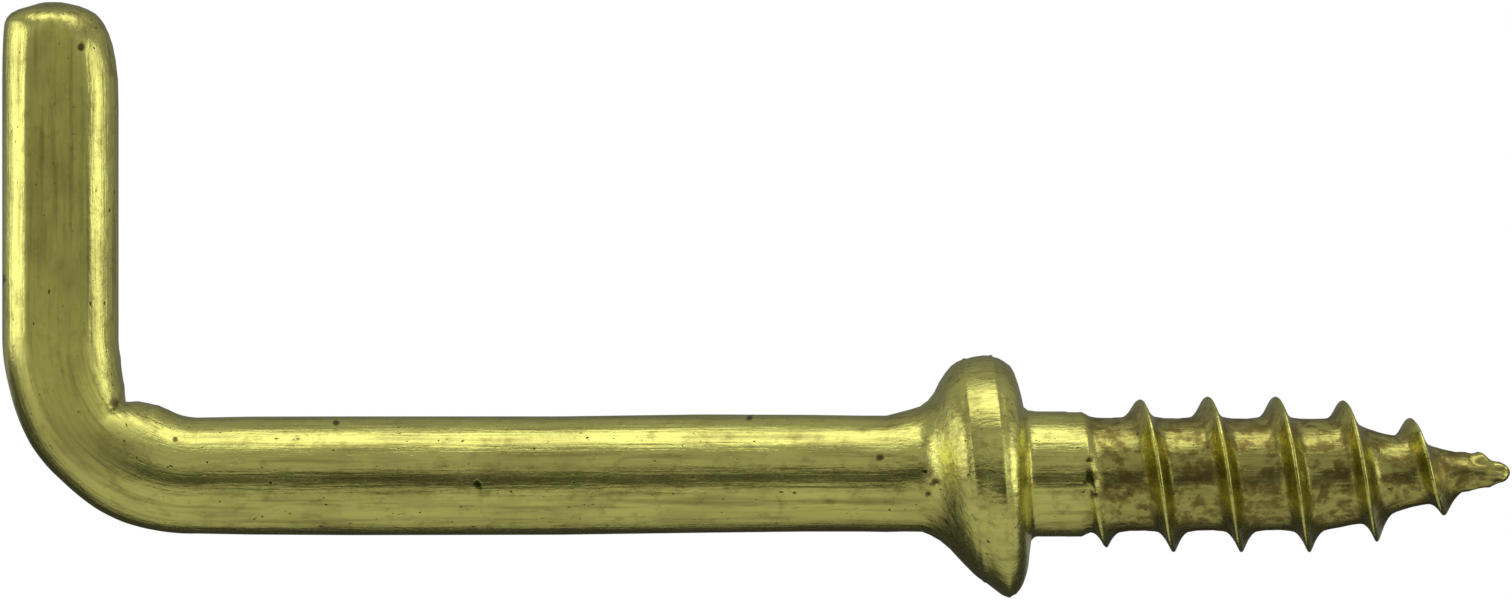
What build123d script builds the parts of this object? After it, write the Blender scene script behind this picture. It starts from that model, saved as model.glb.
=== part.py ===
from build123d import *
import os
from math import cos, pi, radians, sin, tan

# Square-bend cup hook, one piece of brass wire. The origin is the middle of the
# collar's seating face, on the screw's axis. +X runs along the screw to its
# point, +Z is the way the arm stands, +Y is across the hook. Millimetres.

# --- wire ---
WIRE_D = 3.0            # round wire, the same all along arm and shank
HALF = WIRE_D / 2

# --- overall sizes, all from the collar's seat and the screw's axis ---
SCREW_LEN = 12.19       # seat to the screw's point
REACH = 25.86           # seat to the outer face of the arm
ARM_TOP = 11.92         # screw axis to the end of the arm
SHANK_BACK = 1.9        # the swept wire stops this far short of the seat

# --- arm: end cut askew and rounded, two pressed flats ---
END_TILT = 9.0          # degrees, the end falls towards the screw side
END_PEAK = 0.13         # the cut is at full height this far out from the arm's middle
END_R = 1.15            # rounding of the end
FLATS_APART = 2.58      # thickness across the two flats
FLAT_FOOT = 4.6         # height where the flats start to run out
FLAT_RUNOUT = 1.9       # height where the flats are gone
FLAT_LEAD = 0.35        # inward run of a flat for each 1 up, where it starts

# --- square bend ---
BEND_OUT_R = 4.95       # outside of the bend
# the sharp inside corner left by the tool's edge: each point is how far it is
# from the arm's inner face and how high it is above the top of the shank
NOTCH_CORNER = (0.19, 0.35)
NOTCH_UP = (0.03, 1.60)
NOTCH_ALONG = (0.95, 0.33)

# --- collar, revolved round an axis that leans by the rim's lean ---
RIM_R = 3.08            # largest radius of the collar
RIM_LEAN = 4.9          # degrees, the rim's top leans back to the shank
RIM_BACK = 1.36         # shank-side edge of the rim band, from the seat
RIM_BACK_R = 2.80
RIM_FRONT = 0.80        # screw-side edge of the rim band, from the seat
FLARE_BACK = 2.40       # where the flare leaves the shank, from the seat
FLARE_R = 0.6           # hollow at the foot of the flare
FLARE_SUNK = 0.3        # the flare's cone is rooted this far inside the wire
RIM_ROUND = 0.22        # rounding at the shank-side edge of the band
FACE_EDGE = 0.20        # screw-side face: distance back and radius of its edge
FACE_EDGE_R = 2.62
FACE_ROUND = 0.35
FACE_PROUD = 0.05       # the screw-side face, before it is cut off level with the seat
SEAT_R = 2.1            # least radius of the flat seating ring
SEAT_BEVEL = 0.5        # 45 degree bevel outside the ring

# --- neck and screw ---
NECK_R = 1.58
NECK_LEN = 1.45
NECK_FILLET = 0.25
NECK_STEP = 0.2         # length of the step from neck to core
CORE_R = 1.42
CONE_START = 7.6        # core begins to taper to the point
CONE_END = 11.93
CONE_END_R = 0.25
PITCH = 1.716
CREST_R = 1.96
CREST_LAND = 0.10
FLANK = 35.0            # degrees, each flank from square to the axis
CREST_TOP_X = 4.554     # one crest crosses the top of the screw here
THREAD_START = 1.25
THREAD_FULL = 3.3       # crest reaches full height
THREAD_FALL = 7.2       # crest begins to fall to the point
THREAD_END = 11.72
CREST_RISE = 0.8        # under 1, the crest rises quickly at first
CREST_SUNK = 0.03       # the crest's two ends lie this far inside the core
BURY = 0.08             # ridge is rooted this far inside the core
ROWS = 12               # sections in each half turn of the ridge
NUDGE = 1e-4            # part of a turn over which a heading is taken

# --- cutting ---
SPARE = 2.0             # cutters and blanks run this far past the part
CLEAR = 0.1             # a cutter's edge starts this far outside the wire
NEAR = 1e-6             # two places this close are the same


def solid_wire():
    """Round wire from the end of the arm round the bend to the collar."""
    x = -REACH + HALF
    r = BEND_OUT_R - HALF
    arm = Pos(x, 0, r) * extrude(Circle(HALF), ARM_TOP + SPARE - r)
    turn = revolve(Pos(x, 0, r) * Circle(HALF), Axis((x + r, 0, r), (0, -1, 0)), revolution_arc=90)
    length = -SHANK_BACK - x - r
    shank = Pos(x + r, 0, 0) * extrude(Plane.YZ * Circle(HALF), length, dir=(1, 0, 0))
    return arm + turn + shank


def rounded_end(wire):
    """End of the arm, cut a little askew and rounded over."""
    block = Pos(0, 0, WIRE_D) * Box(4 * WIRE_D, 2 * WIRE_D, 2 * WIRE_D)
    wire -= Pos(-REACH + HALF - END_PEAK, 0, ARM_TOP) * Rot(0, END_TILT, 0) * block
    return fillet(wire.faces().sort_by(Axis.Z)[-1].edges(), END_R)


def flat_cutter(side):
    """What a press takes off one side of the arm, running out into the bend."""
    y = side * FLATS_APART / 2
    out = side * (HALF + CLEAR)
    far = side * (HALF + SPARE)
    top = ARM_TOP + SPARE
    run = Spline([(out, FLAT_RUNOUT), (y, FLAT_FOOT)], tangents=[(-side * FLAT_LEAD, 1), (0, 1)])
    rest = Polyline([(y, FLAT_FOOT), (y, top), (far, top), (far, FLAT_RUNOUT), (out, FLAT_RUNOUT)])
    face = Plane.YZ * make_face([run, rest])
    return Pos(-REACH - SPARE, 0, 0) * extrude(face, WIRE_D + 2 * SPARE, dir=(1, 0, 0))


def notch_cutter():
    """Sharp inside corner of the bend, pressed in by a square-edged tool."""
    face_x = -REACH + WIRE_D
    spots = [(face_x + dx, HALF + dz) for dx, dz in (NOTCH_UP, NOTCH_CORNER, NOTCH_ALONG)]
    face = make_face(Polyline(spots + [spots[0]]))
    return extrude(Plane.XZ * face, HALF + SPARE, both=True)


def solid_collar():
    """Upset collar: leaning rim, flare to the shank, flat ring that seats."""
    foot = -FLARE_BACK - FLARE_SUNK * (FLARE_BACK - RIM_BACK) / (RIM_BACK_R - HALF)
    outline = Polyline([(foot, HALF - FLARE_SUNK), (-RIM_BACK, RIM_BACK_R), (-RIM_FRONT, RIM_R),
                        (-FACE_EDGE, FACE_EDGE_R), (FACE_PROUD, NECK_R), (FACE_PROUD, 0), (foot, 0),
                        (foot, HALF - FLARE_SUNK)])
    face = make_face(outline)

    def corner(x, r):
        return face.vertices().sort_by_distance((x, r, 0))[0]

    face = fillet(corner(-RIM_BACK, RIM_BACK_R), RIM_ROUND)
    face = fillet(corner(-RIM_FRONT, RIM_R), RIM_ROUND)
    face = fillet(corner(-FACE_EDGE, FACE_EDGE_R), FACE_ROUND)
    body = revolve(Plane.XZ * face, Axis.X)
    body = Pos(-RIM_FRONT, 0, 0) * Rot(0, -RIM_LEAN, 0) * Pos(RIM_FRONT, 0, 0) * body
    body -= Pos(SPARE, 0, 0) * Box(2 * SPARE, 4 * RIM_R, 4 * RIM_R)
    ring = Polyline([(0, 0), (0, SEAT_R), (-SEAT_BEVEL, SEAT_R + SEAT_BEVEL), (-SEAT_BEVEL, 0), (0, 0)])
    return body + revolve(Plane.XZ * make_face(ring), Axis.X)


def solid_core():
    """Plain neck, core of the screw and its blunt point."""
    outline = Polyline([(-SHANK_BACK, 0), (-SHANK_BACK, NECK_R), (NECK_LEN, NECK_R),
                        (NECK_LEN + NECK_STEP, CORE_R), (CONE_START, CORE_R), (CONE_END, CONE_END_R)])
    left = SCREW_LEN - CONE_END
    ball = (left ** 2 + CONE_END_R ** 2) / (2 * left)
    near = SCREW_LEN - ball + ball * cos(pi / 4)
    tip = ThreePointArc((CONE_END, CONE_END_R), (near, ball * sin(pi / 4)), (SCREW_LEN, 0))
    base = Line((SCREW_LEN, 0), (-SHANK_BACK, 0))
    return revolve(Plane.XZ * make_face([outline, tip, base]), Axis.X)


def core_radius(x):
    """Radius of the core at x."""
    if x <= CONE_START:
        return CORE_R
    return CORE_R - (x - CONE_START) * (CORE_R - CONE_END_R) / (CONE_END - CONE_START)


def crest_radius(x):
    """Radius of the thread's crest at x: it grows off the neck and falls to the point."""
    under = core_radius(x) - CREST_SUNK
    if x < THREAD_FULL:
        part = max(0.0, (x - THREAD_START) / (THREAD_FULL - THREAD_START))
        return under + (CREST_R - under) * sin(pi / 2 * part) ** CREST_RISE
    if x <= THREAD_FALL:
        return CREST_R
    last = core_radius(THREAD_END) - CREST_SUNK
    part = (x - THREAD_FALL) / (THREAD_END - THREAD_FALL)
    return CREST_R - (CREST_R - last) * part ** 2


def helix_point(turn, x, r):
    """Point at radius r, this many turns on from the crest at the top; right-handed."""
    return (x, -r * sin(2 * pi * turn), r * cos(2 * pi * turn))


def thread_corners(turn):
    """Four corners of the ridge's section: root, crest, crest, root."""
    x = CREST_TOP_X + PITCH * turn
    crest = crest_radius(x)
    half = CREST_LAND / 2 + (crest - core_radius(x) + BURY) * tan(radians(FLANK))
    spots = [(x - half, core_radius(x - half) - BURY), (x - CREST_LAND / 2, crest),
             (x + CREST_LAND / 2, crest), (x + half, core_radius(x + half) - BURY)]
    return [helix_point(turn, sx, sr) for sx, sr in spots]


def thread_heading(turn, k):
    """Direction in which corner k of the ridge runs at this turn."""
    before, after = thread_corners(turn - NUDGE)[k], thread_corners(turn + NUDGE)[k]
    return tuple((b - a) / (2 * NUDGE) for a, b in zip(before, after))


def solid_thread():
    """Right-handed rolled thread: one ridge, made of half turns that join smoothly."""
    first = (THREAD_START - CREST_TOP_X) / PITCH
    last = (THREAD_END - CREST_TOP_X) / PITCH
    count = round((last - first) * 2)
    turns = [first + (last - first) * i / count for i in range(count + 1)]
    faces = []
    for t0, t1 in zip(turns, turns[1:]):
        rows = [thread_corners(t0 + (t1 - t0) * j / ROWS) for j in range(ROWS + 1)]
        edges = [Spline([row[k] for row in rows],
                        tangents=[thread_heading(t0, k), thread_heading(t1, k)]).edge()
                 for k in range(4)]
        faces += [Face.make_surface_from_curves(edges[k], edges[(k + 1) % 4]) for k in range(4)]
    for turn in (first, last):
        spots = [Vector(*spot) for spot in thread_corners(turn)]
        faces.append(Face(Wire.make_polygon(spots, close=True)))
    return Solid(Shell(faces))


hook = rounded_end(solid_wire())
hook = hook - flat_cutter(-1) - flat_cutter(1) - notch_cutter()
screw = solid_collar() + solid_core()
root = [edge for edge in screw.edges().filter_by(GeomType.CIRCLE)
        if abs(edge.radius - NECK_R) < NEAR and abs(edge.arc_center.X) < NEAR]
screw = fillet(root, NECK_FILLET) + solid_thread()
hook = hook + screw
foot = [edge for edge in hook.edges()
        if abs(edge.center().X + FLARE_BACK) < FLARE_SUNK and edge.geom_type != GeomType.LINE]
hook = fillet(foot, FLARE_R).solid()

os.makedirs("parts", exist_ok=True)
export_step(hook, "parts/hook.step")
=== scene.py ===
from math import atan2, hypot, pi, radians, sin

import bpy
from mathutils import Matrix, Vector


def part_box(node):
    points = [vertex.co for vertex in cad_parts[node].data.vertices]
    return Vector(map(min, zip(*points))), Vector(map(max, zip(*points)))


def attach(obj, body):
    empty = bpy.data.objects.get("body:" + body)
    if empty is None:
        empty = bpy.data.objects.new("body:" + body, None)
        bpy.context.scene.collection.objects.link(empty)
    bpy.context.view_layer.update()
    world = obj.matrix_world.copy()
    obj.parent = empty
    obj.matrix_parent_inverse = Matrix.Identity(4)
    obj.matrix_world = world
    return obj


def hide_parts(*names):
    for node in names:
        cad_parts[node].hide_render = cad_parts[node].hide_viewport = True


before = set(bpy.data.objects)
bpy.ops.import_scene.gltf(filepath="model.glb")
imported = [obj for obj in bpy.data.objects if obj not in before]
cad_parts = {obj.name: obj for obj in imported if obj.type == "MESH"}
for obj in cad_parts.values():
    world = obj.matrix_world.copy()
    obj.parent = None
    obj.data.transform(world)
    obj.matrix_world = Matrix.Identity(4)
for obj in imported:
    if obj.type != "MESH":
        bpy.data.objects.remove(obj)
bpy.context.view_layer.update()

# Everything on the hook is modelled in millimetres and brought down to metres at the end.
# +X runs along the screw to its point, +Z up the arm, and the collar seats at x = 0.

SIDES = 96              # sides of the round wire

# --- arm ---
ARM_X = -24.39          # middle of the arm
ARM_R = 1.465
ARM_TOP = 11.92
# rounded end, from the tip down: how far down, outer side, inner side
ARM_END = [(0.01, -0.42, 0.05), (0.04, -0.56, 0.20), (0.10, -0.75, 0.47), (0.19, -1.06, 0.70),
           (0.29, -1.25, 0.88), (0.40, -1.35, 0.99), (0.55, -1.41, 1.10), (0.80, -1.435, 1.22),
           (1.10, -1.45, 1.32), (1.46, -1.46, 1.39), (1.97, -1.465, 1.45), (2.7, -1.465, 1.465)]
FLAT_Y = 1.26           # the two pressed flats lie this far from the middle
FLAT_LEFT = 0.10        # share of the roundness left on a flat
FLAT_FOOT = 4.2         # the flats run out between these heights
FLAT_GONE = 1.2

# --- square bend, turned about the middle of its outside arc ---
BEND_X, BEND_Z = -20.94, 3.42
BEND_R = 3.45
BEND_STEPS = 48
# degrees round from the arm's end, change of the inside and of the outside distance
BEND_SHAPE = [(0, 0.0, 0.0), (14, 0.0, -0.02), (24, 0.09, 0.02), (33, 0.20, 0.06), (41.5, 0.42, 0.05),
              (46, 0.19, 0.03), (52, 0.06, 0.04), (60, -0.05, 0.07), (68, -0.06, 0.07), (78, -0.02, 0.03),
              (90, 0.0, 0.0)]

# --- shank: along the axis, middle height, radius ---
SHANK = [(-20.94, -0.03, 1.465), (-19.6, -0.03, 1.49), (-17.0, -0.035, 1.50), (-11.8, -0.03, 1.495),
         (-8.2, 0.02, 1.495), (-5.6, 0.03, 1.475), (-4.2, 0.02, 1.465), (-3.55, 0.015, 1.47)]
SHANK_STEP = 0.3

# --- collar: a ring's top (x, height) and its bottom; a fine bead edges the rim's band on both sides ---
COLLAR = [((-3.33, 1.54), (-3.08, -1.445)), ((-2.95, 1.64), (-2.65, -1.45)), ((-2.70, 1.72), (-2.45, -1.53)),
          ((-2.50, 1.87), (-2.20, -1.67)), ((-2.35, 2.06), (-1.95, -1.88)), ((-2.22, 2.33), (-1.74, -2.11)),
          ((-2.07, 2.56), (-1.54, -2.32)), ((-1.92, 2.74), (-1.34, -2.52)), ((-1.78, 2.84), (-1.23, -2.61)),
          ((-1.66, 2.89), (-1.14, -2.67)), ((-1.60, 2.935), (-1.09, -2.725)), ((-1.54, 2.92), (-1.03, -2.74)),
          ((-1.35, 2.97), (-0.85, -2.88)), ((-1.10, 3.005), (-0.64, -3.04)), ((-0.97, 3.00), (-0.51, -3.095)),
          ((-0.91, 3.02), (-0.44, -3.115)), ((-0.85, 2.965), (-0.38, -3.07)), ((-0.72, 2.93), (-0.27, -3.01)),
          ((-0.58, 2.85), (-0.18, -2.90)), ((-0.43, 2.74), (-0.10, -2.76)), ((-0.33, 2.57), (-0.03, -2.56)),
          ((-0.23, 2.28), (0.02, -2.36)), ((-0.15, 1.98), (0.06, -1.98)), ((-0.09, 1.70), (0.10, -1.68)),
          ((0.02, 1.62), (0.17, -1.60))]

# --- neck and screw ---
NECK_R = 1.58
NECK_END = 1.40
CORE_R = 1.42
PITCH = 1.716
CREST_R = 1.965
CREST_TOP_X = 4.554     # one crest crosses the top of the screw here
THREAD_STEPS = 96
JOIN_X = 1.05           # the threaded length is joined to the neck here
TIP_X = 12.0            # the last ring before the blunt point
SCREW_LEN = 12.19
TIP_DRIFT = 0.05        # the point stands this much high
TIP_ROUGH = 0.05        # lumps left at the point by the rolling
GRAIN = 0.008           # faint lumps all along the thread
# one thread from crest to crest: along the axis, share of the thread's height
THREAD = [(-0.60, 0.0), (-0.46, 0.02), (-0.36, 0.08), (-0.28, 0.20), (-0.20, 0.38), (-0.13, 0.59),
          (-0.07, 0.82), (-0.03, 0.97), (0.0, 1.0), (0.03, 0.97), (0.07, 0.80), (0.12, 0.57),
          (0.18, 0.37), (0.26, 0.18), (0.35, 0.06), (0.46, 0.01), (0.62, -0.02), (0.85, -0.03),
          (1.00, -0.02), (PITCH - 0.60, 0.0)]
# core and crest along the axis
CORE = [(0.0, NECK_R), (1.38, 1.57), (1.62, 1.44), (7.3, 1.42), (7.9, 1.36), (8.4, 1.23), (9.2, 0.98),
        (10.0, 0.77), (10.9, 0.52), (11.4, 0.40), (11.9, 0.26), (12.2, 0.16)]
CREST = [(0.0, NECK_R), (1.25, 1.57), (1.65, 1.66), (2.02, 1.86), (2.8, 1.89), (3.7, 1.965), (7.2, 1.965),
         (7.97, 1.87), (8.83, 1.70), (9.69, 1.42), (10.57, 1.03), (11.28, 0.56), (11.7, 0.38), (12.2, 0.18)]


def between(table, x, column=1):
    """Value of a table's column at x, smooth between its rows."""
    if x <= table[0][0]:
        return table[0][column]
    for low, high in zip(table, table[1:]):
        if x <= high[0]:
            part = (x - low[0]) / (high[0] - low[0])
            return low[column] + (high[column] - low[column]) * part
    return table[-1][column]


def fade(x, start, end):
    """0 before start, 1 past end, and an even ease between them."""
    part = min(1.0, max(0.0, (x - start) / (end - start)))
    return part * part * (3 - 2 * part)


class Ring:
    """The open end of the wire while it is drawn on: its middle, radius and lean."""

    def __init__(self, middle, radius):
        self.middle, self.radius, self.lean = Vector(middle), radius, 0.0

    def draw(self, middle, radius, lean=None):
        """Extrude the open end to a new middle, radius and lean in the plane of the hook."""
        middle = Vector(middle)
        lean = self.lean if lean is None else lean
        step = middle - self.middle
        bpy.ops.mesh.extrude_region_move(TRANSFORM_OT_translate={"value": step})
        grow = radius / self.radius
        if abs(grow - 1) > 1e-6:
            bpy.ops.transform.resize(value=(grow, grow, grow), center_override=middle)
        if abs(lean - self.lean) > 1e-6:
            bpy.ops.transform.rotate(value=self.lean - lean, orient_axis="Y", center_override=middle)
        self.middle, self.radius, self.lean = middle, radius, lean

    def draw_to(self, top, bottom):
        """Extrude the open end so that it spans from a bottom point to a top point."""
        across = Vector((top[0] - bottom[0], 0, top[1] - bottom[1]))
        middle = ((top[0] + bottom[0]) / 2, 0, (top[1] + bottom[1]) / 2)
        self.draw(middle, across.length / 2, atan2(across.x, across.z))


def draw_wire():
    """Arm, square bend, shank, collar and neck, drawn on ring by ring from the arm's end."""
    bpy.ops.object.select_all(action="DESELECT")
    drop, left, right = ARM_END[0]
    start = (ARM_X + (left + right) / 2, 0, ARM_TOP - drop)
    bpy.ops.mesh.primitive_circle_add(vertices=SIDES, radius=(right - left) / 2, fill_type="TRIFAN")
    wire = bpy.context.object
    wire.name = "hook_wire"
    bpy.ops.object.mode_set(mode="EDIT")
    bpy.ops.mesh.select_all(action="SELECT")
    bpy.ops.transform.translate(value=start)
    bpy.ops.mesh.select_mode(type="EDGE")
    bpy.ops.mesh.select_all(action="DESELECT")
    bpy.ops.mesh.select_non_manifold(extend=False)
    ring = Ring(start, (right - left) / 2)
    for drop, left, right in ARM_END[1:]:
        ring.draw((ARM_X + (left + right) / 2, 0, ARM_TOP - drop), (right - left) / 2)
    height = ring.middle.z
    count = 20
    for i in range(1, count + 1):
        ring.draw((ARM_X, 0, height + (BEND_Z - height) * i / count), ARM_R)
    bpy.ops.mesh.spin(steps=BEND_STEPS, angle=radians(90), center=(BEND_X, 0, BEND_Z), axis=(0, 1, 0))
    ring = Ring((BEND_X, 0, BEND_Z - BEND_R), ARM_R)
    length = SHANK[-1][0] - BEND_X
    count = round(length / SHANK_STEP)
    for i in range(1, count + 1):
        x = BEND_X + length * i / count
        ring.draw((x, 0, between(SHANK, x)), between(SHANK, x, 2))
    for top, bottom in COLLAR:
        ring.draw_to(top, bottom)
    count = 6
    start = ring.middle.x
    for i in range(1, count + 1):
        x = start + (JOIN_X - 0.1 - start) * i / count
        ring.draw((x, 0, 0.01), NECK_R, 0.0)
    bpy.ops.object.mode_set(mode="OBJECT")
    return wire


def shape_bend(wire):
    """Sharp inside corner and full outside corner of the bend."""
    for v in wire.data.vertices:
        dx, dz = BEND_X - v.co.x, BEND_Z - v.co.z
        if dx < -0.01 or dz < -0.01:
            continue
        reach = hypot(dx, dz)
        angle = atan2(dz, dx) * 180 / pi
        out = (reach - BEND_R + ARM_R) / (2 * ARM_R)
        change = between(BEND_SHAPE, angle) * (1 - out) ** 2 + between(BEND_SHAPE, angle, 2) * out
        v.co.x -= dx / reach * change
        v.co.z -= dz / reach * change


def press_flats(wire):
    """Flats along both sides of the arm that run out into the bend."""
    for v in wire.data.vertices:
        if v.co.x > BEND_X - 1.0:
            continue
        flat = FLAT_Y + (ARM_R - FLAT_Y) * (1 - fade(v.co.z, FLAT_GONE, FLAT_FOOT))
        over = abs(v.co.y) - flat
        if over > 0:
            v.co.y = (flat + over * FLAT_LEFT) * (1 if v.co.y > 0 else -1)


def turn_thread():
    """Threaded length: one thread turned up the axis, then drawn in to the core and the point."""
    bpy.ops.object.select_all(action="DESELECT")
    first = CREST_TOP_X - 4 * PITCH
    bpy.ops.mesh.primitive_circle_add(vertices=3, radius=1)
    thread = bpy.context.object
    thread.name = "hook_thread"
    bpy.ops.object.mode_set(mode="EDIT")
    bpy.ops.mesh.select_mode(type="VERT")
    bpy.ops.mesh.select_all(action="SELECT")
    bpy.ops.mesh.merge(type="CENTER")
    x, z = first + THREAD[0][0], 1 + THREAD[0][1]
    bpy.ops.transform.translate(value=(x, 0, z))
    for (x0, h0), (x1, h1) in zip(THREAD, THREAD[1:]):
        bpy.ops.mesh.extrude_region_move(TRANSFORM_OT_translate={"value": (x1 - x0, 0, h1 - h0)})
    bpy.ops.object.mode_set(mode="OBJECT")
    screw = thread.modifiers.new("turns", "SCREW")
    screw.axis = "X"
    screw.angle = 2 * pi
    screw.screw_offset = PITCH
    screw.iterations = 9
    screw.steps = screw.render_steps = THREAD_STEPS
    screw.use_merge_vertices = True
    screw.merge_threshold = 0.001
    bpy.ops.object.modifier_apply(modifier="turns")
    bpy.ops.object.mode_set(mode="EDIT")
    bpy.ops.mesh.select_all(action="SELECT")
    bpy.ops.mesh.remove_doubles(threshold=0.001)
    bpy.ops.mesh.bisect(plane_co=(JOIN_X, 0, 0), plane_no=(1, 0, 0), clear_inner=True)
    bpy.ops.mesh.select_all(action="SELECT")
    bpy.ops.mesh.bisect(plane_co=(TIP_X, 0, 0), plane_no=(1, 0, 0), clear_outer=True)
    bpy.ops.object.mode_set(mode="OBJECT")
    for v in thread.data.vertices:
        x, out = v.co.x, hypot(v.co.y, v.co.z)
        core = between(CORE, x)
        new = core + (out - 1) * max(0.0, between(CREST, x) - core)
        around = atan2(v.co.y, v.co.z)
        rough = TIP_ROUGH * fade(x, 10.6, 11.3) * sin(9 * x + 3 * around) * sin(5 * x - 2 * around)
        new += rough + GRAIN * fade(x, 1.6, 2.2) * sin(11 * x - 4 * around) * sin(7 * x + 5 * around)
        drift = TIP_DRIFT * fade(x, 9.5, SCREW_LEN)
        v.co.y *= new / out
        v.co.z = v.co.z * new / out + drift
    return thread


def join_and_close(wire, thread):
    """Bridge the thread to the neck and close the blunt point."""
    bpy.ops.object.select_all(action="DESELECT")
    thread.select_set(True)
    wire.select_set(True)
    bpy.context.view_layer.objects.active = wire
    bpy.ops.object.join()
    hook = bpy.context.object
    hook.name = "hook_brass"
    bpy.ops.object.mode_set(mode="EDIT")
    bpy.ops.mesh.select_mode(type="EDGE")
    bpy.ops.mesh.select_all(action="DESELECT")
    bpy.ops.object.mode_set(mode="OBJECT")
    select_open_edges(hook, JOIN_X - 0.2, JOIN_X + 0.01)
    bpy.ops.object.mode_set(mode="EDIT")
    bpy.ops.mesh.bridge_edge_loops()
    bpy.ops.mesh.select_all(action="DESELECT")
    bpy.ops.object.mode_set(mode="OBJECT")
    select_open_edges(hook, TIP_X - 0.05, TIP_X + 0.05)
    bpy.ops.object.mode_set(mode="EDIT")
    middle = (TIP_X, 0, TIP_DRIFT)
    for step, grow in ((0.07, 0.85), (0.06, 0.72), (0.045, 0.45)):
        bpy.ops.mesh.extrude_region_move(TRANSFORM_OT_translate={"value": (step, 0, 0)})
        middle = (middle[0] + step, 0, middle[2])
        bpy.ops.transform.resize(value=(1, grow, grow), center_override=middle)
    bpy.ops.mesh.extrude_region_move(TRANSFORM_OT_translate={"value": (0.015, 0, 0)})
    bpy.ops.mesh.merge(type="CENTER")
    bpy.ops.mesh.select_all(action="SELECT")
    bpy.ops.mesh.remove_doubles(threshold=0.0005)
    bpy.ops.mesh.normals_make_consistent(inside=False)
    bpy.ops.object.mode_set(mode="OBJECT")
    return hook


def select_open_edges(piece, low, high):
    """Select the edges with one face between two places along the axis."""
    mesh = piece.data
    uses = {}
    for face in mesh.polygons:
        for key in face.edge_keys:
            uses[key] = uses.get(key, 0) + 1
    for edge in mesh.edges:
        xs = [mesh.vertices[i].co.x for i in edge.vertices]
        edge.select = uses.get(edge.key, 0) == 1 and low < min(xs) and max(xs) < high
    for v in mesh.vertices:
        v.select = False
    for edge in mesh.edges:
        if edge.select:
            for i in edge.vertices:
                mesh.vertices[i].select = True


def pressed_share(x, y, z):
    """How far the press and the bending tool have dulled a place: flats whole, bend in part."""
    if x > BEND_X:
        return 0.0
    on_arm = fade(z, FLAT_GONE, FLAT_FOOT + 0.8)
    round_bend = atan2(max(0.0, BEND_Z - z), BEND_X - x) * 180 / pi
    in_bend = fade(abs(y), 0.95, 1.35) * (1 - fade(round_bend, 30, 75))
    return on_arm * fade(abs(y), FLAT_Y - 0.05, FLAT_Y) + (1 - on_arm) * in_bend


def unroll(hook):
    """Attributes for the finish: place along, across and out of the wire, and how deep in a groove."""
    attributes = hook.data.attributes
    attributes.new("wire_run", "FLOAT_VECTOR", "POINT")
    attributes.new("groove", "FLOAT", "POINT")
    attributes.new("pressed", "FLOAT", "POINT")
    fields = [attributes[name].data for name in ("wire_run", "groove", "pressed")]
    for v, place, deep, pressed in zip(hook.data.vertices, *fields):
        x, y, z = v.co
        pressed.value = pressed_share(x, y, z)
        if x < BEND_X and z > BEND_Z:
            place.vector = (-BEND_R * pi / 2 - (z - BEND_Z), y, ARM_X - x)
        elif x < BEND_X:
            dx, dz = BEND_X - x, BEND_Z - z
            place.vector = (-BEND_R * (pi / 2 - atan2(dz, dx)), y, hypot(dx, dz) - BEND_R)
        else:
            place.vector = (x - BEND_X, y, -z)
        core, crest = between(CORE, x), between(CREST, x)
        high = (hypot(y, z) - core) / max(0.05, crest - core)
        deep.value = fade(x, NECK_END - 0.15, NECK_END + 0.3) * (1 - min(1.0, max(0.0, high)))


def bring_down(hook):
    """From millimetres to metres, with the place kept in the mesh."""
    bpy.ops.object.select_all(action="DESELECT")
    hook.select_set(True)
    bpy.context.view_layer.objects.active = hook
    hook.scale = (0.001, 0.001, 0.001)
    bpy.ops.object.transform_apply(location=True, rotation=True, scale=True)
    bpy.ops.object.shade_smooth()


# --- dark pits and nicks on the near side: x, height, radius, depth to the near side ---
PITS = [(-23.0, 1.72, 0.17, 0.6), (-23.77, 10.74, 0.09, 1.25), (-22.85, 1.07, 0.07, 1.1), (-21.4, 0.9, 0.06, 1.2),
        (-25.78, 4.9, 0.14, 0.3), (-17.4, 1.34, 0.08, 0.7), (-13.8, -0.21, 0.10, 1.48), (-7.0, 1.42, 0.09, 0.5),
        (-3.73, 0.44, 0.08, 1.4), (-2.37, -0.16, 0.11, 1.9), (-2.6, 0.09, 0.07, 1.7), (-2.52, -0.47, 0.07, 1.7),
        (1.52, -0.05, 0.16, 1.55), (1.62, -0.45, 0.12, 1.4), (1.50, 0.4, 0.10, 1.45)]

PIT_DEPTH = 0.3         # pits count this much of the distance through the wire


def pitted_places(tree):
    """1 inside a pit and 0 elsewhere, with ragged edges."""
    object_place = tree.nodes.new("ShaderNodeTexCoord").outputs["Object"]
    flattened = tree.nodes.new("ShaderNodeMapping")
    flattened.inputs["Scale"].default_value = (1, PIT_DEPTH, 1)
    tree.links.new(object_place, flattened.inputs["Vector"])
    place = flattened.outputs[0]
    ragged = tree.nodes.new("ShaderNodeTexNoise")
    ragged.inputs["Scale"].default_value = 6000
    tree.links.new(place, ragged.inputs["Vector"])
    total = None
    for x, height, radius, depth in PITS:
        away = tree.nodes.new("ShaderNodeVectorMath")
        away.operation = "DISTANCE"
        tree.links.new(place, away.inputs[0])
        away.inputs[1].default_value = (x / 1000, -depth * PIT_DEPTH / 1000, height / 1000)
        reach = math_node(tree, "MULTIPLY", ragged.outputs["Fac"], radius / 500)
        inside = math_node(tree, "DIVIDE", away.outputs["Value"], reach)
        inside = range_of(tree, inside, 0.5, 1.4, 0.9, 0.0)
        total = inside if total is None else math_node(tree, "MAXIMUM", total, inside)
    return total


def node(tree, kind, **inputs):
    """A shader node with its inputs set by name."""
    made = tree.nodes.new(kind)
    for name, value in inputs.items():
        made.inputs[name.replace("_", " ")].default_value = value
    return made


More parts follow.
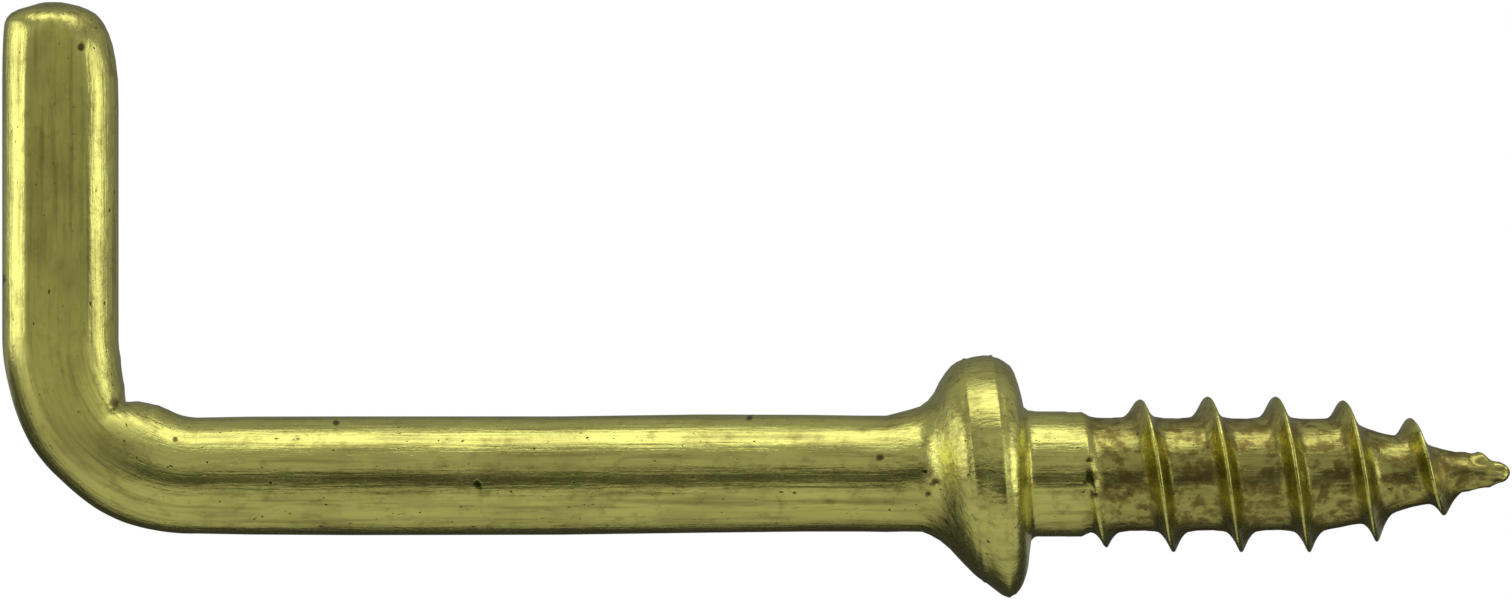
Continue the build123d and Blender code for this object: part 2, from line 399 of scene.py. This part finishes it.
def math_node(tree, operation, a, b, clamp=False):
    """A Math node fed by a socket and a socket or number."""
    made = tree.nodes.new("ShaderNodeMath")
    made.operation = operation
    made.use_clamp = clamp
    for socket, value in zip(made.inputs, (a, b)):
        if isinstance(value, (int, float)):
            socket.default_value = value
        else:
            tree.links.new(value, socket)
    return made.outputs[0]


def stretched_noise(tree, vector, scale, detail=4.0, rough=0.55):
    """Noise over the unrolled wire, at its own scale along, across and out."""
    mapping = tree.nodes.new("ShaderNodeMapping")
    mapping.inputs["Scale"].default_value = scale
    tree.links.new(vector, mapping.inputs["Vector"])
    noise = node(tree, "ShaderNodeTexNoise", Scale=1.0, Detail=detail, Roughness=rough)
    tree.links.new(mapping.outputs[0], noise.inputs["Vector"])
    return noise.outputs["Fac"]


def range_of(tree, value, low, high, to_low=0.0, to_high=1.0):
    """A value spread from one range to another, clamped."""
    made = tree.nodes.new("ShaderNodeMapRange")
    made.interpolation_type = "SMOOTHSTEP"
    for name, number in (("From Min", low), ("From Max", high), ("To Min", to_low), ("To Max", to_high)):
        made.inputs[name].default_value = number
    tree.links.new(value, made.inputs["Value"])
    return made.outputs["Result"]


def blend_colour(tree, share, low, high):
    """Mix of two colours, each a socket or a tuple."""
    made = tree.nodes.new("ShaderNodeMix")
    made.data_type = "RGBA"
    tree.links.new(share, made.inputs["Factor"])
    for name, colour in (("A", low), ("B", high)):
        socket = [s for s in made.inputs if s.name == name and s.type == "RGBA"][0]
        if isinstance(colour, tuple):
            socket.default_value = colour
        else:
            tree.links.new(colour, socket)
    return [s for s in made.outputs if s.type == "RGBA"][0]


BRIGHT_BRASS = (0.82, 0.81, 0.22, 1)
DULL_BRASS = (0.60, 0.56, 0.16, 1)
BROWN_TARNISH = (0.26, 0.20, 0.05, 1)
# near-black colour of the pits and nicks
DARK_PIT_FILL = (0.07, 0.055, 0.012, 1)


def worn_brass():
    """Drawn and rolled brass: streaks along the wire, tarnish patches, pits, and a browner colour deep in the
    thread's roots.
    """
    made = bpy.data.materials.new("worn_brass")
    made.use_nodes = True
    tree = made.node_tree
    shader = tree.nodes["Principled BSDF"]
    shader.inputs["Metallic"].default_value = 1.0
    run = tree.nodes.new("ShaderNodeAttribute")
    run.attribute_name = "wire_run"
    groove = tree.nodes.new("ShaderNodeAttribute")
    groove.attribute_name = "groove"
    pressed = tree.nodes.new("ShaderNodeAttribute")
    pressed.attribute_name = "pressed"
    place = run.outputs["Vector"]
    drawn = stretched_noise(tree, place, (0.22, 5.0, 5.0), 4.0, 0.62)
    streaks = stretched_noise(tree, place, (0.35, 7.0, 7.0), 5.0, 0.6)
    patches = stretched_noise(tree, place, (0.5, 1.1, 1.1), 3.0, 0.55)
    mottle = stretched_noise(tree, place, (2.6, 3.2, 3.2), 5.0, 0.65)
    pits = stretched_noise(tree, place, (5.0, 8.0, 8.0), 2.0, 0.5)

    dull = math_node(tree, "ADD", range_of(tree, streaks, 0.46, 0.70, 0.0, 0.6),
                     range_of(tree, patches, 0.42, 0.68, 0.0, 0.7), True)
    colour = blend_colour(tree, dull, BRIGHT_BRASS, DULL_BRASS)
    brown = math_node(tree, "ADD", range_of(tree, mottle, 0.50, 0.72, 0.0, 0.4),
                      range_of(tree, drawn, 0.50, 0.70, 0.0, 0.5), True)
    brown = math_node(tree, "MULTIPLY", brown, range_of(tree, pressed.outputs["Fac"], 0.0, 1.0, 1.0, 0.6))
    colour = blend_colour(tree, brown, colour, BROWN_TARNISH)
    # Browner the deeper a place lies in the roots of the thread, varied by the mottle.
    in_groove = math_node(tree, "MULTIPLY", groove.outputs["Fac"], range_of(tree, mottle, 0.42, 0.60, 0.4, 1.0))
    colour = blend_colour(tree, in_groove, colour, BROWN_TARNISH)
    pitted = math_node(tree, "MAXIMUM", range_of(tree, pits, 0.70, 0.76), pitted_places(tree))
    # Pits and nicks are coloured near black.
    colour = blend_colour(tree, pitted, colour, DARK_PIT_FILL)
    tree.links.new(colour, shader.inputs["Base Color"])

    rough = math_node(tree, "ADD", range_of(tree, streaks, 0.35, 0.7, 0.14, 0.26),
                      range_of(tree, mottle, 0.4, 0.7, 0.0, 0.08))
    rough = math_node(tree, "ADD", rough, math_node(tree, "MULTIPLY", in_groove, 0.12))
    rough = math_node(tree, "ADD", rough, math_node(tree, "MULTIPLY", pressed.outputs["Fac"], 0.44))
    tree.links.new(rough, shader.inputs["Roughness"])

    bump_in = math_node(tree, "MULTIPLY", streaks, 0.5)
    bump_in = math_node(tree, "ADD", bump_in, math_node(tree, "MULTIPLY", mottle, 0.5))
    bump_in = math_node(tree, "SUBTRACT", bump_in, math_node(tree, "MULTIPLY", pitted, 0.3))
    bump = node(tree, "ShaderNodeBump", Strength=0.5, Distance=0.00006)
    tree.links.new(bump_in, bump.inputs["Height"])
    tree.links.new(bump.outputs[0], shader.inputs["Normal"])
    return made


def plain(name, colour, roughness):
    """A plain painted finish."""
    made = bpy.data.materials.new(name)
    made.use_nodes = True
    shader = made.node_tree.nodes["Principled BSDF"]
    shader.inputs["Base Color"].default_value = colour
    shader.inputs["Roughness"].default_value = roughness
    return made


def glowing(name, level):
    """A wall of the room at an even brightness."""
    made = bpy.data.materials.new(name)
    made.use_nodes = True
    shader = made.node_tree.nodes["Principled BSDF"]
    shader.inputs["Base Color"].default_value = (0, 0, 0, 1)
    shader.inputs["Emission Color"].default_value = (1, 1, 1, 1)
    shader.inputs["Emission Strength"].default_value = level
    return made


DARK = 0.1              # cards darker than this only show in the metal and take no light off the floor


def hang_card(name, at, size, turn, level):
    """A card of the room that shows in the metal and never to the eye."""
    bpy.ops.object.select_all(action="DESELECT")
    bpy.ops.mesh.primitive_plane_add(size=1, location=at, rotation=turn)
    card = bpy.context.object
    card.name = name
    card.scale = (size[0], size[1], 1)
    card.visible_camera = False
    card.visible_shadow = False
    card.visible_diffuse = level > DARK
    card.data.materials.append(glowing(name, level))
    return card


def set_stage(low, high):
    """Pale floor under the hook, and the grey walls of a small room."""
    middle = (low + high) / 2
    span = (high - low).length
    bpy.ops.object.select_all(action="DESELECT")
    bpy.ops.mesh.primitive_plane_add(size=span * 12, location=(middle.x, middle.y, low.z - 0.25 * span))
    floor = bpy.context.object
    floor.name = "floor"
    floor.data.materials.append(plain("pale_floor", (0.74, 0.74, 0.74, 1), 0.9))
    upright, across = (radians(90), 0, 0), (radians(90), 0, radians(90))
    far = span * 12
    card_z = low.z - span * 0.22
    cards = [
        hang_card("near_wall", (middle.x, -far, middle.z), (2 * far, 2 * far), upright, 0.34),
        hang_card("far_wall", (middle.x, far, middle.z), (2 * far, 2 * far), upright, 0.16),
        hang_card("left_wall", (middle.x - far, 0, middle.z), (2 * far, 2 * far), across, 0.30),
        hang_card("right_wall", (middle.x + far, 0, middle.z), (2 * far, 2 * far), across, 0.30),
        hang_card("ceiling", (middle.x, 0, middle.z + far), (2 * far, 2 * far), (0, 0, 0), 0.30),
        hang_card("dark_card", (middle.x, -span * 9, middle.z - span * 2.2), (span * 22, span * 6.4), upright, 0.02),
        hang_card("back_card", (middle.x, span * 1.2, card_z), (span * 8, span * 2.15), (0, 0, 0), 0.02),
        hang_card("front_card", (middle.x, -span * 3.4, card_z), (span * 12, span * 5.4), (0, 0, 0), 0.02),
    ]


def soft_box(name, at, aim, width, height, level):
    """A soft box that shows in the metal at a given brightness."""
    bpy.ops.object.light_add(type="AREA", location=at)
    lamp = bpy.context.object
    lamp.name = name
    lamp.rotation_euler = (Vector(aim) - Vector(at)).to_track_quat("-Z", "Y").to_euler()
    lamp.data.shape = "RECTANGLE"
    lamp.data.size, lamp.data.size_y = width, height
    lamp.data.energy = level * pi * width * height
    lamp.visible_camera = False


def light_the_hook(low, high):
    """Soft boxes above and at both sides, and a plain grey room."""
    middle = (low + high) / 2
    span = (high - low).length
    far = span * 6
    soft_box("top_box", (middle.x, -far * 0.22, far), middle, far * 1.6, far * 0.62, 1.15)
    soft_box("left_box", (middle.x - far, 0, middle.z), middle, far * 0.75, far * 0.9, 1.25)
    soft_box("right_box", (middle.x + far, -far * 0.12, middle.z), middle, far * 0.55, far * 0.9, 1.1)
    world = bpy.data.worlds.new("white_room")
    bpy.context.scene.world = world
    world.use_nodes = True
    tree = world.node_tree
    back = tree.nodes["Background"]
    path = tree.nodes.new("ShaderNodeLightPath")
    seen = math_node(tree, "ADD", path.outputs["Is Camera Ray"], path.outputs["Is Glossy Ray"], True)
    seen = math_node(tree, "ADD", seen, path.outputs["Is Transmission Ray"], True)
    back.inputs["Color"].default_value = (1, 1, 1, 1)
    tree.links.new(range_of(tree, seen, 0.0, 1.0, 0.3, 1.0), back.inputs["Strength"])


def set_camera():
    """A long lens square to the plane of the hook."""
    width, lens, sensor = 0.03815, 200.0, 36.0
    aim = (-0.00684, 0.0, 0.00440)
    away = width / 2 / (sensor / 2 / lens)
    bpy.ops.object.camera_add(location=(aim[0], -away, aim[2]), rotation=(radians(90), 0, 0))
    camera = bpy.context.object
    camera.data.lens = lens
    camera.data.sensor_width = sensor
    camera.data.clip_start = 0.01
    bpy.context.scene.camera = camera


def make_hook():
    """The whole hook as one closed piece of brass."""
    wire = draw_wire()
    shape_bend(wire)
    press_flats(wire)
    hook = join_and_close(wire, turn_thread())
    unroll(hook)
    bring_down(hook)
    hook.data.materials.append(worn_brass())
    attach(hook, "root")
    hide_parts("hook")


make_hook()
low_corner, high_corner = (Vector(corner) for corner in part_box("hook"))
set_stage(low_corner, high_corner)
light_the_hook(low_corner, high_corner)
set_camera()
bpy.context.scene.view_settings.view_transform = "Standard"
